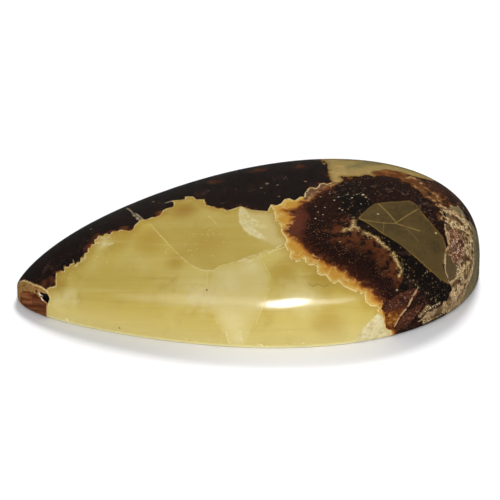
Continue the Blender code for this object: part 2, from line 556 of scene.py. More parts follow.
VEIL = [
    (241, 207), (239, 215), (241, 225), (250, 235), (262, 243), (275, 248), (284, 246), (287, 240),
    (281, 231), (279, 224), (274, 212), (268, 211.5), (251, 210),
]
UPPER_LOBES = [
    (303, 200), (305.5, 192), (312, 187), (323, 183), (334, 180), (340, 184), (330, 194), (318, 200),
]
RED_PATCH = [
    (284, 215), (292, 212), (303, 206), (310, 214), (307, 228), (302, 238), (291, 239), (285, 233),
]
borders |= {
    "block": area(seen(BLOCK)),
    "pale": area(seen(PALE)),
    "crescent": area(seen(CRESCENT)),
    "veil": area(seen(VEIL)),
    "upper_lobes": area(seen(UPPER_LOBES)),
    "red_patch": area(seen(RED_PATCH)),
}
print(f"{len(borders)} borders in all")

# %% [markdown]
# ## Cleavage, cracks and veins
#
# Cleavage planes, cracks and veins meet the surface as fine lines. Each could be a thin
# closed outline, but an open line is shorter to write and stays true on the curve: the mesh
# keeps every point's distance to it, and the material gives it its width and its grain.

# %% Lines in the calcite, the black and the tip
CLEAVAGE = [
    [(150.2, 224.7), (158, 233), (166.5, 242), (175, 251), (183.9, 259.4), (193, 266.5),
     (203.3, 270.6), (213.5, 270.6), (220.6, 266), (231.8, 263), (248.2, 259.4), (257.3, 256.8),
     (269.6, 252.2), (277.8, 249.2), (285, 247)],
    [(261.4, 257), (265, 266), (270.6, 276), (271, 284), (267.6, 292), (262.4, 307.3), (256, 324)],
    [(207.5, 270.6), (207, 285), (206, 300), (209.5, 312), (217, 322), (224, 333)],
    [(208, 216), (214, 221), (220, 228)],
]
FRESH_CRACKS = [
    [(268, 253), (273, 251.5), (278, 247), (284, 243)],
    [(238, 261.5), (250, 256.5), (258, 255), (266, 251), (273, 250)],
    [(246, 262), (256, 259), (265, 256)],
    [(240.8, 207), (239.4, 214), (240.5, 222), (245, 229), (252, 234.5), (260, 237.5)],
    [(246, 222), (252, 219.5), (258, 221), (257, 225.5), (251, 226)],
    [(250, 229), (256, 231), (262, 235)],
    [(226, 332), (229, 343)], [(240, 331), (243, 344)],
    [(97, 239), (101, 237.5), (106, 238.5), (110, 236.5)], [(103, 244), (108, 244.5), (113, 243.5)],
    [(92, 246), (95, 243.5), (99, 243)], [(74, 267), (77, 265.5)], [(82, 262), (85, 259), (86, 256)],
]
BLACK_CRACKS = [
    [(126, 208), (131, 211), (134, 215), (139, 219)], [(133, 215), (138, 219.5)],
    [(165, 203), (172, 201)], [(135, 213), (140, 217), (143, 219)],
]
# The glints are painted highlights on the rim of the cavity.
GLINTS = [[(38.5, 292.5), (41, 296), (42, 299.5), (44.5, 301.5)]]
TIP_EDGE = [
    [(20, 281.5), (24, 280.6), (33.2, 284.3), (41.5, 287.2), (47, 291.3), (50.3, 297), (48.5, 304.6)],
]
SQUIGGLE = [[(308, 283), (313, 286.5), (318, 284), (324, 287), (328, 285)]]
lines = {
    "cleavage": CLEAVAGE,
    "fresh_cracks": FRESH_CRACKS,
    "squiggle": SQUIGGLE,
    "black_cracks": BLACK_CRACKS,
    "glints": GLINTS,
    "tip_edge": TIP_EDGE,
}
print({name: len(drawn) for name, drawn in lines.items()})

# %% Lines at the round end
FRINGE = [
    [(414, 329), (424, 322), (431, 319), (440, 315), (447.8, 311), (457, 304), (463, 298)],
    [(420, 316), (426, 309), (433, 307), (440, 303)],
]
CRUMB_LINE = [
    [(343, 232), (346, 228), (350, 230), (353, 225), (360, 230), (366, 233.3), (375.3, 237),
     (379, 241), (383.6, 245.3), (389.1, 249), (392.8, 253.6), (396, 260), (399.3, 265.7),
     (402, 270), (399, 276)],
    [(354, 220.5), (353, 225)],
]
CURL_LINES = [
    [(405, 178), (412, 177), (419, 181), (424, 187), (430, 191), (436, 195), (440, 201), (440, 207),
     (443, 212), (441, 218)],
    [(413, 184), (421, 190), (427, 196), (433, 199), (436, 205)],
    [(441, 206), (447, 208), (452, 206)],
]
VEINS = [
    [(374, 200), (381, 206), (390, 215), (396, 222.5)],
    [(396, 223), (404, 217.5), (412, 212.5), (419, 208.5)],
    [(358, 218.5), (370, 221), (383, 223), (396, 223.5), (405.5, 226.5), (420, 231)],
]
FAINT_VEINS = [[(384, 222), (383, 233)], [(405.5, 228), (412, 234), (419, 242)]]
PALE_VEIN = [
    [(440, 211), (446, 219), (444.5, 228), (446.7, 235.3), (448.8, 245.5), (445.7, 251.6),
     (444.2, 261.8), (445.7, 272), (448.8, 281.2)],
    [(394.7, 326.1), (400, 316), (405, 310), (409, 304.7), (413, 296), (418, 288)],
]
lines |= {
    "fringe": FRINGE,
    "crumb_line": CRUMB_LINE,
    "curl_lines": CURL_LINES,
    "veins": VEINS,
    "faint_veins": FAINT_VEINS,
    "pale_vein": PALE_VEIN,
}
lines = {name: [area(seen(line)) for line in drawn] for name, drawn in lines.items()}
print({name: len(drawn) for name, drawn in lines.items()})

# %% [markdown]
# ## Specks and clouds
#
# Single bright or dark crystals are too small for an outline, and clouds in the calcite and
# the aragonite have no clear edge. Both are round spots: a pixel of the photograph and a
# radius in pixels. Noise could place them all, but the eye looks for the largest ones where
# they are, so these are listed and noise adds the rest.

# %% Specks
def circles(rows):
    """Round spots on the map: centres, and radii in millimetres."""
    return [(cast(row[:2]), row[2] / PIXELS_PER_MM) for row in rows]


SPARKLES = [
    (320.9, 196.8, 1.1), (328.3, 197.4, 1.0), (329.8, 193.5, 0.9), (334.2, 200.2, 1.2),
    (338.4, 197.0, 1.2), (347.5, 194.5, 1.0), (352, 197.8, 1.2), (356.9, 194.3, 1.0),
    (363.0, 194.6, 1.6), (366, 197.3, 1.2), (324.9, 199, 0.8), (315.7, 206.5, 0.9), (325, 207.5, 0.9),
    (339.5, 208.3, 1.0), (342.5, 210, 1.0), (318, 212, 0.9), (323, 214.5, 0.9), (315.5, 218.5, 1.1),
    (340, 241.8, 0.9), (378, 214, 1.3), (436, 233, 1.3), (461, 279, 1.9), (361, 203.8, 0.9),
    (202, 256.5, 0.8), (208.5, 256, 0.8), (79.5, 301, 0.9), (367.5, 236, 0.9), (383, 243.5, 1.0),
    (397, 290, 1.2),
]
DULL_SPECKS = [
    (267, 183.5, 1.8), (277.5, 185, 1.2), (261.3, 187.8, 1.3), (305.5, 181.5, 1.4), (279, 196.5, 1.2),
    (153.5, 201.5, 1.3), (153, 202, 1.1), (91, 229, 1.2), (92, 230, 1.0), (352.4, 217.5, 1.0),
]
DARK_GRAINS = [
    (206.8, 290, 1.0), (119.5, 328, 0.9), (36, 291, 1.2), (24, 286, 1.1), (448, 214, 1.3),
    (464, 232, 1.4), (466, 237.5, 1.3), (467.2, 242.5, 1.3), (468, 249, 1.2), (469, 256, 1.1),
]
specks = {
    "sparkles": circles(SPARKLES),
    "dull_specks": circles(DULL_SPECKS),
    "dark_grains": circles(DARK_GRAINS),
}
print({name: len(spots) for name, spots in specks.items()})

# %% Clouds
AMBER_CLOUDS = [
    (122, 238, 26), (150, 240, 26), (205, 240, 30), (318, 280, 26),
    (330, 328, 30), (62, 285, 10), (285, 272, 20), (175, 262, 16), (292, 244, 10), (184, 211, 24),
]
MILKY_CLOUDS = [
    (232, 322, 20), (237, 338, 12), (228, 282, 20), (250, 268, 14), (70, 298, 14), (374, 330, 10),
    (58, 302, 12), (103, 243, 13), (200, 294, 26), (188, 200, 8), (262, 226, 9), (300, 296, 30),
]
RUST_CLOUDS = [
    (184, 210, 20), (52, 279, 8), (96, 236, 6), (125, 228, 8), (160, 213, 9), (88, 247, 6),
    (276, 216, 4), (44, 284, 7), (258, 170, 12), (215, 181, 14), (300, 166, 9),
]
GOLD_CLOUDS = [(408, 272, 14), (418, 290, 14), (400, 258, 8), (436, 296, 12)]
BUBBLE_CLOUDS = [
    (106, 241, 14), (80, 264, 12), (66, 274, 9), (205, 242, 28), (196, 232, 16), (168, 250, 8),
    (100, 262, 14), (262, 226, 14),
]
DARK_CLOUDS = [
    (352, 186, 16), (372, 190, 18), (392, 188, 18), (408, 192, 14), (425, 207, 14), (438, 222, 13),
    (420, 200, 10), (340, 192, 10),
]
EMBER_CLOUDS = [
    (378, 173, 8), (388, 172.5, 11), (398, 174.5, 12), (408, 179, 10), (417, 184, 9), (350, 178, 4),
]
clouds = {
    "amber_cloud": circles(AMBER_CLOUDS),
    "milky_cloud": circles(MILKY_CLOUDS),
    "ember_cloud": circles(EMBER_CLOUDS),
    "rust_cloud": circles(RUST_CLOUDS),
    "dark_cloud": circles(DARK_CLOUDS),
    "bubble_cloud": circles(BUBBLE_CLOUDS),
    "gold_cloud": circles(GOLD_CLOUDS),
}
print({name: len(spots) for name, spots in clouds.items()})

# %% [markdown]
# ## Measuring the borders on the mesh
#
# Each point of the mesh gets its distance to every border, in millimetres and positive
# inside. Lines count from 0 down, and a cloud from 0 at its edge to 1 in its middle. A
# material can then draw a contact of any width. The alternative, a painted picture, would
# blur at this scale and would hide how the stone is built up. The mesh is subdivided
# twice where a sharp edge runs, so the sawteeth stay sharp.

# %% Distance to a side and to a border
TINY = 1e-9


def from_side(places, start, end):
    """Distance of each place to one straight side, in millimetres."""
    side = end - start
    offset = places - start
    along = np.clip(offset @ side / max(side @ side, TINY), 0, 1)
    return np.linalg.norm(offset - along[:, None] * side, axis=1)


def depth_inside(border, places):
    """Distance of each place to a closed border, positive inside it."""
    nearest = np.full(len(places), np.inf)
    inside = np.zeros(len(places), dtype=bool)
    for start, end in zip(border, np.roll(border, -1, axis=0)):
        nearest = np.minimum(nearest, from_side(places, start, end))
        rise = end[1] - start[1] or TINY
        crosses = (start[1] > places[:, 1]) != (end[1] > places[:, 1])
        inside ^= crosses & (
            places[:, 0] - start[0] < (places[:, 1] - start[1]) / rise * (end[0] - start[0])
        )
    return np.where(inside, nearest, -nearest)


middle = np.zeros((1, 2))
print(f"the crown lies {-depth_inside(borders['wedge'], middle)[0]:.1f} mm outside the wedge")

# %% Write every distance to the mesh
SOFT_BORDERS = (
    "block", "pale", "veil", "upper_lobes", "red_patch", "lens", "russet", "core", "girdle",
)


def measure_borders(piece):
    """Writes every field to the piece. Returns those that have a sharp edge."""
    places = map_places(piece)
    fields = {name: depth_inside(border, places) for name, border in borders.items()}
    for name, drawn in lines.items():
        sides = [pair for line in drawn for pair in zip(line[:-1], line[1:])]
        fields[name] = -np.min([from_side(places, *side) for side in sides], axis=0)
    for name, rows in specks.items():
        fields[name] = np.max(
            [size - np.linalg.norm(places - at, axis=1) for at, size in rows], axis=0
        )
    sharp = {name: values for name, values in fields.items() if name not in SOFT_BORDERS}
    for name, rows in clouds.items():
        fields[name] = np.max(
            [1 - np.linalg.norm(places - at, axis=1) / size for at, size in rows], axis=0
        )
    for name, values in fields.items():
        write_floats(piece, name, values)
    return sharp


print(f"{len(SOFT_BORDERS)} of {len(borders)} borders are soft")

# %% Subdivide along the sharp borders
REFINED_ROWS = 1.9
NEAR_MM = (0.06, 0.03)


def refine(piece, near):
    """Subdivides the faces of the dome that a sharp edge crosses, or nearly so."""
    sharp = measure_borders(piece)
    angle = read_floats(piece, "angle")
    row = read_floats(piece, "row")
    faces = [face for face in piece.data.polygons if len(face.vertices) == 4]
    corners = np.array([list(face.vertices) for face in faces])
    crossed = np.zeros(len(faces), dtype=bool)
    places = map_places(piece)
    half_face = np.linalg.norm(places[corners[:, 0]] - places[corners[:, 2]], axis=1) / 2
    for name, values in sharp.items():
        at_corners = values[corners]
        reach = np.maximum(half_face, near) if name in lines else near
        crossed |= (at_corners.min(axis=1) < near) & (at_corners.max(axis=1) > -reach)
    # Past the last spoke the angle starts again, and a new point halfway between the two
    # would land on the other side of the stone, so the faces there stay whole.
    crossed &= np.ptp(angle[corners], axis=1) < math.pi
    crossed &= row[corners].max(axis=1) < REFINED_ROWS
    chosen = {face.index for face, wanted in zip(faces, crossed) if wanted}
    bpy.ops.object.mode_set(mode="EDIT")
    bpy.ops.mesh.select_mode(type="FACE")
    bpy.ops.mesh.select_all(action="DESELECT")
    cage = bmesh.from_edit_mesh(piece.data)
    for face in cage.faces:
        face.select_set(face.index in chosen)
    bmesh.update_edit_mesh(piece.data)
    bpy.ops.mesh.subdivide(number_cuts=1)
    bpy.ops.mesh.select_mode(type="VERT")
    bpy.ops.object.mode_set(mode="OBJECT")
    put_on_surface(piece)
    print(f"{len(piece.data.polygons)} faces after refining within {near} mm of an edge")


for near in NEAR_MM:
    refine(stone, near)

# %% Measure the finished mesh
measure_borders(stone)
layer = stone.data.attributes.new("map", "FLOAT_VECTOR", "POINT")
flat_map = np.zeros((len(stone.data.vertices), 3), dtype=np.float32)
flat_map[:, :2] = map_places(stone)
layer.data.foreach_set("vector", flat_map.ravel())
print(f"{sum(len(face.vertices) - 2 for face in stone.data.polygons)} triangles")

# %% [markdown]
# ## The cavity beside the tip
#
# A small crack was never filled, and opens at the surface as a dark three-cornered hole.
# It could be cut with another body, but the mesh is already fine there and knows how far
# inside the hole's border each point is, so the points are simply sunk. All of them go one
# way, along the mean normal, so that no wall leans over another.

# %% Cavity
CAVITY_DEPTH = 0.45 * MM
CAVITY_WALL = 0.16
hole = read_floats(stone, "hole")
inside_wall = np.clip(hole / CAVITY_WALL, 0, 1)
sunk = inside_wall**2 * (3 - 2 * inside_wall) * CAVITY_DEPTH
points = np.zeros(len(stone.data.vertices) * 3)
normals = points.copy()
stone.data.vertices.foreach_get("co", points)
stone.data.vertices.foreach_get("normal", normals)
outward = sunk @ normals.reshape(-1, 3)
outward /= np.linalg.norm(outward)
points = points.reshape(-1, 3) - sunk[:, None] * outward
stone.data.vertices.foreach_set("co", points.astype(np.float32).ravel())
stone.data.update()
print(f"{int((sunk > 0).sum())} points sunk for the cavity")

# %% [markdown]
# ## The finish: a polished septarian nodule
#
# One stone, several minerals, one polish. So there is one material, and it is built the way
# the nodule grew: calcite first, then each mineral laid over it inside its own border. Every
# layer is a colour, a share that says where it shows, and a noise of its own grain size.
# Separate materials per mineral would be simpler to read, but their borders would then run
# along mesh faces instead of along the real contacts.

# %% Node helper and colours
material = bpy.data.materials.new("polished_septarian_nodule")
material.use_nodes = True
tree = material.node_tree
tree.nodes.clear()


def add(kind, inputs=(), **settings):
    """Adds a node, with its settings, its values and its links."""
    made = tree.nodes.new("ShaderNode" + kind)
    for name, value in settings.items():
        setattr(made, name, value)
    for socket, value in dict(inputs).items():
        if isinstance(value, bpy.types.Node):
            value = next(output for output in value.outputs if output.enabled)
        if isinstance(value, bpy.types.NodeSocket):
            tree.links.new(value, made.inputs[socket])
        else:
            made.inputs[socket].default_value = value
    return made


def linear(hex_colour):
    """An sRGB hex colour as linear red, green, blue and alpha."""
    parts = [int(hex_colour[at : at + 2], 16) / 255 for at in (1, 3, 5)]
    return *(p / 12.92 if p <= 0.04045 else ((p + 0.055) / 1.055) ** 2.4 for p in parts), 1.0


print("mid grey", linear("#808080"))

# %% Fields and grains
object_place = add("TexCoord").outputs["Object"]
place = add("VectorMath", {0: object_place, "Scale": 1 / MM}, operation="SCALE")
on_map = add("Attribute", attribute_name="map").outputs["Vector"]
names = ["row", "angle", *borders, *lines, *specks, *clouds]
field = {name: add("Attribute", attribute_name=name).outputs["Fac"] for name in names}

# Grain sizes in millimetres. The stone's own grain is finer than a pixel of the render, so
# the finest size is drawn as coarse as it needs to show.
GRAINS_MM = {"dust": 0.12, "grit": 0.3, "crumb": 0.7, "mottle": 1.6, "cloud": 4.5}
grain = {
    name: add("TexNoise", {"Vector": place, "Scale": 1 / size, "Detail": 3.0, "Roughness": 0.55})
    for name, size in GRAINS_MM.items()
}
height = add("SeparateXYZ", {0: place}).outputs["Z"]
print(f"{len(field)} fields and {len(grain)} grains")

# %% Shares and layers
def fade(value, start, end):
    """A value as a share: 0 at start, 1 at end. Start may be the higher one."""
    return add("MapRange", {0: value, 1: start, 2: end}, interpolation_type="SMOOTHSTEP")


def share(name, start, end, rough=None, ragged=0.0):
    """How much of a mineral shows, 0 to 1, as its depth goes from start to end.

    Depths are in millimetres, and in shares of the radius for a cloud. A rough grain moves
    the border by up to half of ragged either way.
    """
    depth = field[name]
    if rough:
        depth = add("Math", {0: grain[rough], 1: ragged, 2: depth}, operation="MULTIPLY_ADD")
        start, end = start + ragged / 2, end + ragged / 2
    return fade(depth, start, end)


def lay(under, layers):
    """Lays colours over a colour. Each layer is a colour and one or more shares."""
    for colour, *shares in layers:
        amount = shares[0]
        for more in shares[1:]:
            amount = add("Math", {0: amount, 1: more}, operation="MULTIPLY")
        colour = linear(colour) if isinstance(colour, str) else colour
        under = add("Mix", {0: amount, 6: under, 7: colour}, data_type="RGBA")
    return under


def where(rough, start, end):
    """Where a grain is strong, or weak if start is the higher number."""
    return fade(grain[rough], start, end)


print(f"{len(tree.nodes)} nodes so far")

# %% Crumbs that stand alone
# Each Voronoi cell holds one crumb. Distances are shares of a cell, and every cell has a
# random value, which decides how many of the cells show their crumb.
CRUMB_SPACING = 0.22
CRUMB_FADES = (0.42, 0.15)
FEW = (0.6, 1.0)
MOST = (0.2, 0.7)
crumb_cells = add("TexVoronoi", {"Vector": place, "Scale": 1 / CRUMB_SPACING, "Randomness": 1.0})
from_middle = crumb_cells.outputs["Distance"]
crumb_middles = add("MapRange", {0: from_middle, 1: CRUMB_FADES[0], 2: CRUMB_FADES[1]})
cell_value = add("SeparateColor", {"Color": crumb_cells.outputs["Color"]}).outputs["Red"]
few_cells = add("MapRange", {0: cell_value, 1: FEW[0], 2: FEW[1]})
most_cells = add("MapRange", {0: cell_value, 1: MOST[0], 2: MOST[1]})
print(f"a crumb every {CRUMB_SPACING} mm")

# %% [markdown]
# ## Honey calcite
#
# Calcite lets light in and scatters it, so it looks lit from within. Its colour drifts from
# straw to amber, with cloudy patches where tiny cracks healed, faint growth lines along the
# stone, and pale lines where cleavage planes meet the surface. The growth lines are flat
# sheets inside the stone, so they are a noise in space that is stretched along the sheets.
# Low on the stone and on the back bevel the colour is painted lighter: painted light from
# the table below.

# %% Growth sheets, and painted light on the back bevel
GROWTH_LENGTH = 9.0
GROWTH_WIDTH = 0.45
SHEET_LEAN = math.radians(60)
SHEET_TURN = math.radians(-9.5)
along_growth = add(
    "Mapping",
    {
        "Vector": place,
        "Rotation": (SHEET_LEAN, 0, SHEET_TURN),
        "Scale": (GROWTH_LENGTH, GROWTH_WIDTH, GROWTH_LENGTH),
    },
    vector_type="TEXTURE",
)
grain["growth"] = add(
    "TexNoise", {"Vector": along_growth, "Scale": 1.0, "Detail": 4.0, "Roughness": 0.65}
)
edge_chips = add("MapRange", {0: field["row"], 1: 1.35, 2: 1.6})
# Painted light: the back bevel faces down and would lie in shade, so it is coloured pale, as if lit
# through the calcite and from the table.
painted_bevel_light = add("MapRange", {0: field["row"], 1: 1.55, 2: 1.75})
print(f"growth lines {GROWTH_WIDTH} mm wide")

# %% Calcite
calcite = lay(linear("#B49F50"), [
    ("#BCAA62", where("cloud", 0.45, 0.7)),
    ("#A08A3E", where("mottle", 0.52, 0.8), 0.6),
    ("#A4893A", share("amber_cloud", 0.0, 0.9, "mottle", 0.3), 0.8),
    ("#BCAB68", where("growth", 0.5, 0.75), 0.6),
    ("#A08C40", where("growth", 0.45, 0.25), 0.5),
    ("#A08A46", share("block", 0.0, 0.12), 0.45),
    ("#BEAE76", share("veil", -0.1, 0.5, "mottle", 0.5), 0.7),
    ("#C2B47A", share("pale", 0.0, 0.14, "crumb", 0.1), 0.4),
    ("#CABE88", share("pale", 0.0, 0.9, "mottle", 0.5), 0.3),
    # Painted light: the calcite is lighter towards the table, as the table lights it from below.
    ("#C4B87E", fade(height, 3.2, 0.2), 0.5),
    ("#CCC08E", share("milky_cloud", 0.0, 1.2, "crumb", 0.9), where("mottle", 0.25, 0.6), 0.7),
    ("#8E662A", share("rust_cloud", 0.0, 0.9, "mottle", 0.3), 0.6),
    ("#9E7E30", share("black", -0.9, 0.0, "crumb", 0.8), 0.6),
    ("#9E7E30", share("nodule", -0.9, 0.0, "crumb", 0.8), 0.5),
    ("#CCBE84", share("bubble_cloud", 0.0, 0.4), crumb_middles, few_cells, 0.6),
    ("#CCBC80", share("cleavage", -0.075, -0.01, "grit", 0.08), where("crumb", 0.32, 0.55), 0.85),
    ("#C4B88A", share("crescent", -0.15, 0.15, "crumb", 0.3), where("crumb", 0.3, 0.5), 0.75),
    ("#D2C8A0", share("crescent", 0.0, 0.14, "grit", 0.4), where("grit", 0.5, 0.62), 0.45),
    ("#D6CA9C", share("fresh_cracks", -0.13, -0.02, "crumb", 0.24), where("dust", 0.4, 0.56), 0.6),
    # Painted light on the back bevel.
    ("#DCD2A4", painted_bevel_light, 0.9),
    ("#E0D8B0", edge_chips, where("grit", 0.56, 0.66), where("mottle", 0.45, 0.6)),
    ("#7A6E30", share("squiggle", -0.06, -0.02), 0.6),
])
print(f"{len(tree.nodes)} nodes so far")

# %% [markdown]
# ## Black aragonite
#
# The aragonite that lined the crack is iron-stained, nearly black where it is thick and
# red-brown where it thins out to the contact. Needles of it grew square to the wall of the
# crack, which leaves the sawteeth and faint streaks. The contact itself is a pale line.

# %% Black aragonite
CONTACT = 0.035
NEEDLES_PER_MM = (2.2, 0.5, 1.0)
needle_place = add("Mapping", {"Vector": place, "Scale": NEEDLES_PER_MM})
grain["needle"] = add(
    "TexNoise", {"Vector": needle_place, "Scale": 1.0, "Detail": 4.0, "Roughness": 0.65}
)
black = lay(linear("#19110F"), [
    ("#2B1A15", where("needle", 0.5, 0.75), 0.6),
    ("#33201A", where("mottle", 0.55, 0.8)),
    ("#4A4038", crumb_middles, few_cells, where("mottle", 0.5, 0.65)),
    ("#5A2A14", share("black", 0.5, 0.05, "crumb", 1.0), where("mottle", 0.48, 0.6), 0.5),
    ("#5A3018", share("rust_cloud", 0.0, 0.9, "mottle", 0.5), where("crumb", 0.3, 0.6), 0.9),
    ("#9A6226", share("black", 0.16, 0.0, "grit", 0.3), where("crumb", 0.48, 0.6), 0.9),
    ("#A6957A", share("black_cracks", -0.11, -0.03, "grit", 0.08), where("grit", 0.3, 0.5), 0.8),
])
looks = lay(calcite, [
    ("#D0C28C", share("black", -0.13, -0.03, "grit", 0.16), where("grit", 0.38, 0.5), 0.95),
    ("#A07C3C", share("black", -0.3, 0.0, "grit", 0.5), where("crumb", 0.5, 0.6), 0.8),
    (black, share("black", -CONTACT, CONTACT, "grit", 0.22)),
])
print(f"{len(tree.nodes)} nodes so far")

# %% [markdown]
# ## The brown aragonite band
#
# On the near side the same mineral is clearer. Rounded amber lobes meet the calcite along a
# cream line, then it darkens to a core of fine fibres that stand square to the contact. The
# fibres are a noise that is stretched across the band, on the map, so they fan with it.

# %% Fibres and lobes of the band
BAND_TURN = math.radians(58.6)
FIBRE_WIDTH = 0.13
FIBRE_LENGTH = 0.6
band_place = add("Mapping", {"Vector": on_map, "Rotation": (0, 0, BAND_TURN)})
fibre_place = add(
    "Mapping", {"Vector": band_place, "Scale": (1 / FIBRE_WIDTH, 1 / FIBRE_LENGTH, 1)}
)
grain["fibre"] = add(
    "TexNoise", {"Vector": fibre_place, "Scale": 1.0, "Detail": 3.0, "Roughness": 0.6}
)
fibre_share = where("fibre", 0.48, 0.75)
LOBE_SIZE = 0.8
grain["lobe"] = add(
    "TexVoronoi", {"Vector": place, "Scale": 1 / LOBE_SIZE}, feature="DISTANCE_TO_EDGE"
)
creases = add("MapRange", {0: grain["lobe"], 1: 0.08, 2: 0.02})
print(f"fibres {FIBRE_WIDTH} mm wide, lobes {LOBE_SIZE} mm across")

# %% Brown aragonite
lobes = lay(linear("#B28534"), [
    ("#BEA054", share("nodule", 0.36, 0.08, "grit", 0.3)),
    ("#9C6020", share("core", -0.5, -0.15, "lobe", 0.6), 0.9),
    ("#6E3616", share("core", -0.25, 0.0, "lobe", 0.6), 0.9),
    ("#CDB676", creases, where("crumb", 0.45, 0.6), 0.5),
    ("#54342A", share("upper_lobes", -0.1, 0.1), 0.9),
    ("#7C5C46", share("upper_lobes", 0.0, 0.1), creases, 0.6),
])
core = lay(linear("#6A3416"), [
    ("#4A230F", share("core", -0.05, 0.2, "lobe", 0.5)),
    ("#2C130C", share("core", 0.1, 0.6, "fibre", 0.9)),
    ("#6E3C1A", share("core", 0.9, 0.1, "lobe", 0.6), where("grit", 0.5, 0.62), 0.6),
    ("#1E0E0A", share("core", 0.4, 1.3, "mottle", 1.0)),
    ("#6E4228", fibre_share, where("dust", 0.5, 0.6), where("crumb", 0.4, 0.6), 0.7),
    ("#3E2014", share("crumbs", -2.0, -0.3, "mottle", 0.8), where("crumb", 0.4, 0.65), 0.7),
    ("#4E2C1A", fibre_share, where("grit", 0.42, 0.62), 0.5),
    ("#7A5230", fibre_share, share("crumbs", -1.5, -0.1), where("grit", 0.45, 0.62), 0.8),
    ("#86694E", where("dust", 0.61, 0.69), where("mottle", 0.42, 0.58), 0.7),
    ("#8A6C4C", crumb_middles, few_cells, where("crumb", 0.5, 0.65), 0.5),
    ("#633418", share("crumbs", -1.9, -0.3, "mottle", 0.8), where("crumb", 0.42, 0.6), 0.6),
    ("#5A2C1C", share("red_patch", -0.3, 0.7, "fibre", 0.6), 0.85),
    ("#6E4432", share("red_patch", 0.0, 0.5), fibre_share, where("crumb", 0.4, 0.6), 0.6),
])
looks = lay(looks, [
    ("#1E1412", share("nodule", -CONTACT, CONTACT, "grit", 0.08)),
    ("#D8C68E", share("nodule", -0.07, -0.02, "grit", 0.1), where("grit", 0.36, 0.5), 0.9),
    (lobes, share("nodule", 0.01, 0.08, "grit", 0.1)),
    ("#C89A50", share("core", -0.12, -0.05, "grit", 0.2), where("grit", 0.5, 0.62), 0.5),
    (core, share("core", -0.12, 0.1, "lobe", 0.7)),
])
print(f"{len(tree.nodes)} nodes so far")

# %% [markdown]
# ## The black seam, its crumbs and the limestone wedge
#
# Where the last water left, the crack filled with near-black aragonite full of cream
# crumbs. A wedge of the nodule's own limestone broke into it: smooth, grey-brown, with an
# amber edge and thin calcite veins. The crumbs are Voronoi cells of which only the middles
# show, thinned out by a noise so that they gather in drifts.

# %% Seam and wedge
seam = lay(linear("#100B09"), [
    ("#2A1A14", where("crumb", 0.5, 0.7)),
    ("#86734C", crumb_middles, few_cells, where("crumb", 0.38, 0.56)),
    ("#6A5A34", crumb_middles, most_cells, share("gold_cloud", 0.0, 0.6), 0.9),
])
wedge = lay(linear("#524224"), [
    ("#45381F", where("mottle", 0.4, 0.65)),
    ("#62502C", where("grit", 0.5, 0.8), 0.6),
    ("#7E6430", crumb_middles, few_cells, where("mottle", 0.5, 0.6), 0.5),
    ("#7C602A", share("wedge", 0.22, 0.0, "grit", 0.14), where("mottle", 0.35, 0.6), 0.9),
    ("#7A6640", share("faint_veins", -0.07, -0.01), 0.5),
    ("#8E763E", share("veins", -0.075, -0.01, "grit", 0.08), 0.85),
])
looks = lay(looks, [
    (seam, share("seam", -0.08, 0.08, "crumb", 0.8)),
    ("#5E4226", share("crumbs", -0.05, 0.2, "crumb", 0.9), where("grit", 0.35, 0.6), 0.6),
    ("#8E744A", share("crumbs", -0.15, 0.1, "grit", 0.8), crumb_middles, most_cells),
    ("#806238", share("crumb_line", -0.3, -0.05, "grit", 0.5), where("crumb", 0.35, 0.55), 0.8),
    ("#A88C5C", share("crumb_line", -0.3, -0.12, "crumb", 0.5), crumb_middles, most_cells, 0.8),
    (
        "#C6B27C", share("crumb_line", -0.12, -0.02, "crumb", 0.36),
        where("dust", 0.45, 0.55), where("crumb", 0.36, 0.5), 0.8,
    ),
    (wedge, share("wedge", -0.03, 0.03)),
])
print(f"{len(tree.nodes)} nodes so far")

# %% [markdown]
# ## Tan patch, curl and crust
#
# At the round end the crack reaches the nodule's wall. A tan patch lies on the shoulder, a
# curled amber line runs down from it, and a rough cream crust with a brown lens edges the
# wall. Outside the crust the nodule is plain olive-grey limestone, round to the back.

# %% Tan patch, crust, lens and rim
RAYS_PER_RADIAN = 70.0
RAYS_PER_ROW = 1.2
round_place = add("CombineXYZ", {0: field["angle"], 1: field["row"]})
ray_place = add("Mapping", {"Vector": round_place, "Scale": (RAYS_PER_RADIAN, RAYS_PER_ROW, 1)})
grain["ray"] = add(
    "TexNoise", {"Vector": ray_place, "Scale": 1.0, "Detail": 3.0, "Roughness": 0.6}
)
tan = lay(linear("#96804C"), [
    ("#A78E56", where("crumb", 0.48, 0.7)),
    ("#7A5A2A", share("tan", 0.35, 0.0, "crumb", 0.5), 0.8),
    ("#6A6440", share("tan", 1.0, 2.0, "mottle", 0.6), where("mottle", 0.3, 0.6), 0.7),
    ("#857248", share("tan", 1.2, 2.4), where("crumb", 0.5, 0.62), where("cloud", 0.4, 0.55), 0.6),
    ("#4E4630", share("tan", 1.2, 2.4), where("grit", 0.58, 0.68), where("mottle", 0.5, 0.62), 0.7),
])
crust = lay(linear("#5E4428"), [
    ("#8A6C42", where("crumb", 0.45, 0.55)),
    ("#A98E62", where("ray", 0.5, 0.64), where("mottle", 0.35, 0.5), 0.9),
    ("#2A1A12", where("grit", 0.47, 0.4), 0.9),
    ("#2E1E16", where("ray", 0.45, 0.32), where("crumb", 0.55, 0.45)),
    ("#B4966A", where("grit", 0.55, 0.6), where("mottle", 0.4, 0.52)),
    ("#DCC8A0", where("dust", 0.51, 0.57), where("crumb", 0.45, 0.54), 0.9),
    ("#5E4428", share("fringe", -1.2, -0.1, "crumb", 0.6), 0.5),
    ("#1E1410", share("dark_grains", -0.02, 0.04, "dust", 0.1)),
])
matrix = lay(linear("#736749"), [
    ("#5C533C", where("mottle", 0.4, 0.7)),
    ("#7A6A48", share("girdle", 0.4, 0.0, "crumb", 0.3), 0.6),
])
lens = lay(linear("#643620"), [
    ("#80573C", where("grit", 0.48, 0.6), 0.8),
    ("#2A1A12", where("crumb", 0.55, 0.66), 0.9),
    ("#D2C2A6", where("dust", 0.54, 0.6), where("grit", 0.42, 0.52)),
])
print(f"{len(tree.nodes)} nodes so far")

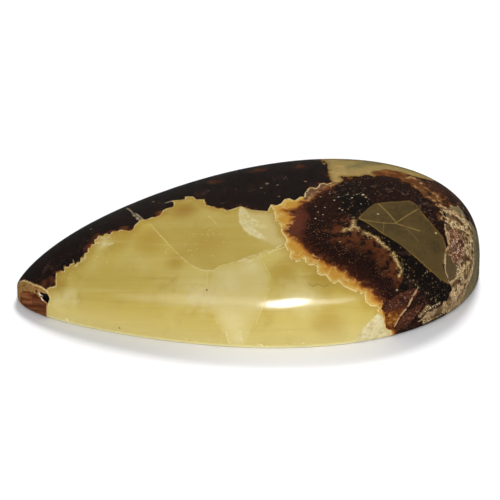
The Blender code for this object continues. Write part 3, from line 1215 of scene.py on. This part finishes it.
# %% Round end
looks = lay(looks, [
    ("#1A110E", share("dark_cloud", 0.0, 0.6, "crumb", 0.6), where("grit", 0.3, 0.6)),
    (
        "#5C4030", share("dark_cloud", 0.0, 0.5),
        where("grit", 0.52, 0.62), where("crumb", 0.4, 0.6), 0.7,
    ),
    ("#6A5840", share("dark_cloud", 0.0, 0.5), crumb_middles, few_cells, where("crumb", 0.45, 0.6)),
    ("#3A1E12", share("russet", -0.1, 0.1, "crumb", 0.5), where("mottle", 0.35, 0.5)),
    (
        "#7E5434", share("russet", -0.3, 0.2, "crumb", 0.5),
        where("grit", 0.52, 0.66), where("mottle", 0.35, 0.6), 0.8,
    ),
    (tan, share("tan", -0.06, 0.06, "crumb", 0.5)),
    ("#5E3414", share("ember_cloud", -0.15, 0.5, "crumb", 0.7), 0.95),
    ("#9A6230", share("ember_cloud", 0.0, 0.6, "grit", 0.5), where("crumb", 0.47, 0.62), 0.6),
    ("#5E3A20", share("curl", -0.1, 0.14, "grit", 0.4), where("grit", 0.35, 0.6), 0.8),
    ("#6E4422", share("curl_lines", -0.5, -0.05, "crumb", 0.8), where("crumb", 0.38, 0.55), 0.8),
    ("#A88456", share("curl_lines", -0.22, -0.05, "crumb", 0.5), where("grit", 0.5, 0.58), 0.9),
    (crust, share("crust", -0.05, 0.05, "crumb", 0.7)),
    (lens, share("lens", -0.15, 0.15, "crumb", 1.0)),
    ("#54442A", share("olive", -0.06, 0.06, "grit", 0.2)),
    (matrix, share("girdle", -0.08, 0.08, "crumb", 0.4)),
])
print(f"{len(tree.nodes)} nodes so far")

# %% [markdown]
# ## Blades, corner and tip
#
# Low on the near side, blades of dark aragonite stand across the band with red-brown ones
# between them, beside a corner of pale calcite. At the other end the tip is a patch of
# striped red-brown and tan aragonite, which holds the open cavity.

# %% Stripes, blades, corner and tip
STRIPE_WIDTH = 0.3
STRIPE_LENGTH = 2.5
stripe_place = add(
    "Mapping",
    {
        "Vector": place,
        "Rotation": (SHEET_LEAN, 0, SHEET_TURN),
        "Scale": (STRIPE_LENGTH, STRIPE_WIDTH, STRIPE_LENGTH),
    },
    vector_type="TEXTURE",
)
grain["stripe"] = add("TexNoise", {"Vector": stripe_place, "Scale": 1.0, "Detail": 2.0})
ember = lay(linear("#52270F"), [
    ("#784618", where("crumb", 0.45, 0.62)),
    ("#3A1C10", fibre_share),
    ("#B0823E", where("grit", 0.58, 0.68), 0.6),
])
blade = lay(linear("#3C1E13"), [
    ("#663A28", fibre_share, 0.7),
    ("#28160F", where("crumb", 0.54, 0.66)),
    ("#8A5A38", where("grit", 0.58, 0.68), 0.6),
    ("#A88C74", where("dust", 0.62, 0.68), 0.6),
])
corner = lay(linear("#B5A678"), [
    ("#C2B68A", where("crumb", 0.42, 0.55)),
    ("#D2C9A4", where("grit", 0.54, 0.64), 0.5),
    ("#D6CDAC", creases, 0.3),
])
tip_brown = lay(linear("#54290F"), [
    ("#875330", where("stripe", 0.42, 0.62), 0.9),
    ("#3A1C0E", where("mottle", 0.5, 0.4), 0.5),
])
tip_tan = lay(linear("#98723E"), [
    ("#5A3820", where("dust", 0.5, 0.42), where("crumb", 0.42, 0.54), 0.8),
    ("#B8965E", where("dust", 0.55, 0.65), 0.7),
    ("#C0A26C", share("tip", 0.1, 0.0, "grit", 0.1), 0.8),
])
print(f"stripes {STRIPE_WIDTH} mm wide")

# %% Near side, corner and tip over the rest
looks = lay(looks, [
    (blade, share("blade_one", -0.04, 0.04, "grit", 0.1)),
    (ember, share("embers", -0.04, 0.04, "grit", 0.1)),
    (blade, share("blade_two", -0.04, 0.04, "grit", 0.1)),
    ("#7E6240", share("fringe", -0.35, -0.05, "crumb", 0.6), where("mottle", 0.3, 0.5), 0.8),
    ("#D8C8A0", share("fringe", -0.25, -0.05, "crumb", 0.6), where("dust", 0.54, 0.62)),
    (corner, share("corner", -0.05, 0.05, "grit", 0.2)),
    ("#A88C66", share("pale_vein", -0.1, -0.02, "grit", 0.2), where("grit", 0.36, 0.52), 0.9),
    (tip_tan, share("tip", -0.04, 0.04, "grit", 0.1)),
    (tip_brown, share("tip_brown", -0.05, 0.05, "grit", 0.15)),
    # Painted shade: the cavity is coloured near black, for the shade inside it.
    ("#120B08", share("hole", -0.02, 0.04)),
    ("#A88A5C", share("hole", -0.07, -0.02, "grit", 0.08), share("hole", 0.0, -0.04), 0.6),
    ("#D4BE88", share("tip_edge", -0.09, -0.02, "grit", 0.1), where("grit", 0.4, 0.55), 0.9),
    # Painted highlight on the cavity's rim.
    ("#F0EAD8", share("glints", -0.055, -0.02, "grit", 0.06), where("grit", 0.42, 0.5), 0.9),
    ("#6A5A48", share("dull_specks", -0.06, 0.06)),
    ("#BEB090", share("sparkles", -0.03, 0.07, "dust", 0.1), 0.85),
    ("#3A2A1A", share("dark_grains", -0.03, 0.04)),
])
print(f"{len(tree.nodes)} nodes so far")

# %% [markdown]
# ## Polish
#
# The last step on the wheel gave the stone a wet gloss. Calcite is soft, so the shine is a
# little short of glass, and only the crust stays rougher and slightly pitted. The light that
# enters the stone is scattered by subsurface scattering, with a longer path for red and
# yellow light than for blue, which gives the calcite its honey depth.

# %% Gloss, bump and depth
CALCITE_IOR = 1.55
ROUGHNESS = 0.15
CRUST_ROUGHNESS = 0.3
CRUST_RELIEF = 0.05 * MM
CRUST_STRENGTH = 0.25
SCATTERED = 0.5
SCATTER_MM = 1.1
SCATTER_BY_COLOUR = (1.0, 0.8, 0.35)
on_crust = share("crust", -0.1, 0.1)
relief = add("Math", {0: on_crust, 1: grain["grit"]}, operation="MULTIPLY")
bump = add("Bump", {"Height": relief, "Strength": CRUST_STRENGTH, "Distance": CRUST_RELIEF})
gloss = add("MapRange", {0: on_crust, 3: ROUGHNESS, 4: CRUST_ROUGHNESS})
shader = add("BsdfPrincipled", {
    "Base Color": looks,
    "Roughness": gloss,
    "IOR": CALCITE_IOR,
    "Subsurface Weight": SCATTERED,
    "Subsurface Radius": SCATTER_BY_COLOUR,
    "Subsurface Scale": SCATTER_MM * MM,
    "Normal": bump,
})
add("OutputMaterial", {"Surface": shader})
stone.data.materials.append(material)
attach(stone, "root")
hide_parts("pear_cabochon")
print(f"{len(tree.nodes)} nodes in the finished material")

# %% [markdown]
# ## Table and light
#
# The photograph was taken on a white table. A soft box above and behind the stone throws its
# shadow towards us, and a wide, low light in front fills the near slope. A short strip with a
# dim tail leaves the one narrow highlight, and a dim card at the side a sheen towards the
# tip: these three show in the polish and light nothing. The table isn't mirrored in the
# stone, as in a tent with dark flags round the camera, or the polish would turn grey.
# Light also comes through the calcite and thins its shadow. Tracing that would be slow, so a
# small light that lights only the table stands in for it.

# %% Floor
FLOOR_SIZE = 3.0
deselect_all()
bpy.ops.mesh.primitive_plane_add(size=FLOOR_SIZE)
floor = bpy.context.object
floor.name = "table_top"
card = bpy.data.materials.new("matt_white_card")
card.use_nodes = True
card_finish = card.node_tree.nodes["Principled BSDF"].inputs
card_finish["Base Color"].default_value = linear("#FAFAFC")
card_finish["Roughness"].default_value = 0.9
floor.data.materials.append(card)
floor.visible_glossy = False
floor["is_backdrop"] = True
print(f"{floor.name} is {FLOOR_SIZE:.0f} m wide")

# %% Light tent
WORLD_LIGHT = 0.4
TENT = (1.0, 1.0, 1.0, 1.0)
TENT_IN_POLISH = (0.1, 0.11, 0.1, 1.0)
bpy.context.scene.view_settings.view_transform = "Standard"
world = bpy.data.worlds.new("light_tent")
world.use_nodes = True
tree = world.node_tree
tree.nodes.clear()
glossy = add("LightPath").outputs["Is Glossy Ray"]
tent = add("Mix", {0: glossy, 6: TENT, 7: TENT_IN_POLISH}, data_type="RGBA")
add("OutputWorld", {"Surface": add("Background", {"Color": tent, "Strength": WORLD_LIGHT})})
bpy.context.scene.world = world
print(f"{world.name} at strength {WORLD_LIGHT}")

# %% Soft lights
LIGHT_DISTANCE = 0.5


def soft_light(name, kind, size, watts, towards, tilt=0.0, mirrored=False):
    """An area light that faces the stone. The direction is given from the stone.

    A light is either mirrored in the polish, or lights the stone without showing in it.
    """
    data = bpy.data.lights.new(name, "AREA")
    data.shape = kind
    data.size, data.size_y = size
    data.energy = watts
    lamp = bpy.data.objects.new(name, data)
    towards = Vector(towards).normalized()
    lamp.location = towards * LIGHT_DISTANCE
    turned = towards.to_track_quat("Z", "Y").to_matrix() @ Matrix.Rotation(tilt, 3, "Z")
    lamp.rotation_euler = turned.to_euler()
    lamp.visible_glossy = mirrored
    lamp.visible_diffuse = not mirrored
    bpy.context.scene.collection.objects.link(lamp)
    return lamp


soft_light("soft_box", "DISK", size=(0.16, 0.16), watts=2.5, towards=(0.12, 0.38, 0.4))
soft_light("front_fill", "ELLIPSE", size=(0.4, 0.15), watts=2.0, towards=(-0.05, -0.97, 0.21))
print("soft box and front fill")

# %% Lights that show in the polish
STRIP_TILT = math.radians(-22)
STRIP_TOWARDS = (-0.125, -0.881, 0.454)
TAIL_TOWARDS = (0.03, -0.912, 0.41)
CARD_TOWARDS = (-0.47, -0.68, 0.562)
soft_light("strip", "ELLIPSE", (0.11, 0.12), 0.95, STRIP_TOWARDS, STRIP_TILT, mirrored=True)
soft_light("strip_tail", "ELLIPSE", (0.34, 0.08), 0.3, TAIL_TOWARDS, STRIP_TILT, mirrored=True)
soft_light("side_card", "ELLIPSE", (0.34, 0.13), 0.16, CARD_TOWARDS, mirrored=True)
print("strip, its tail and side card")

# %% Light through the calcite
BOUNCE_SIZE = (18 * MM, 8 * MM)
BOUNCE_WATTS = 0.0007
BOUNCE_PLACE = Vector((1, -18, 12)) * MM
STRAIGHT_UP = (0, 0, 1)
table_only = bpy.data.collections.new("table_only")
table_only.objects.link(floor)
bounce = soft_light("table_bounce", "ELLIPSE", BOUNCE_SIZE, BOUNCE_WATTS, STRAIGHT_UP)
bounce.location = BOUNCE_PLACE
bounce.light_linking.receiver_collection = table_only
bounce.visible_camera = False

# %% [markdown]
# ## Both sizes
#
# The boxes of the solid and of the dressed stone are printed. The dressed stone has to
# keep the size of the solid.

# %% Print both boxes
sizes = {"cad": cad_box, "visual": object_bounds()}
sizes = {name: [list(map(float, corner)) for corner in box] for name, box in sizes.items()}
print(sizes)
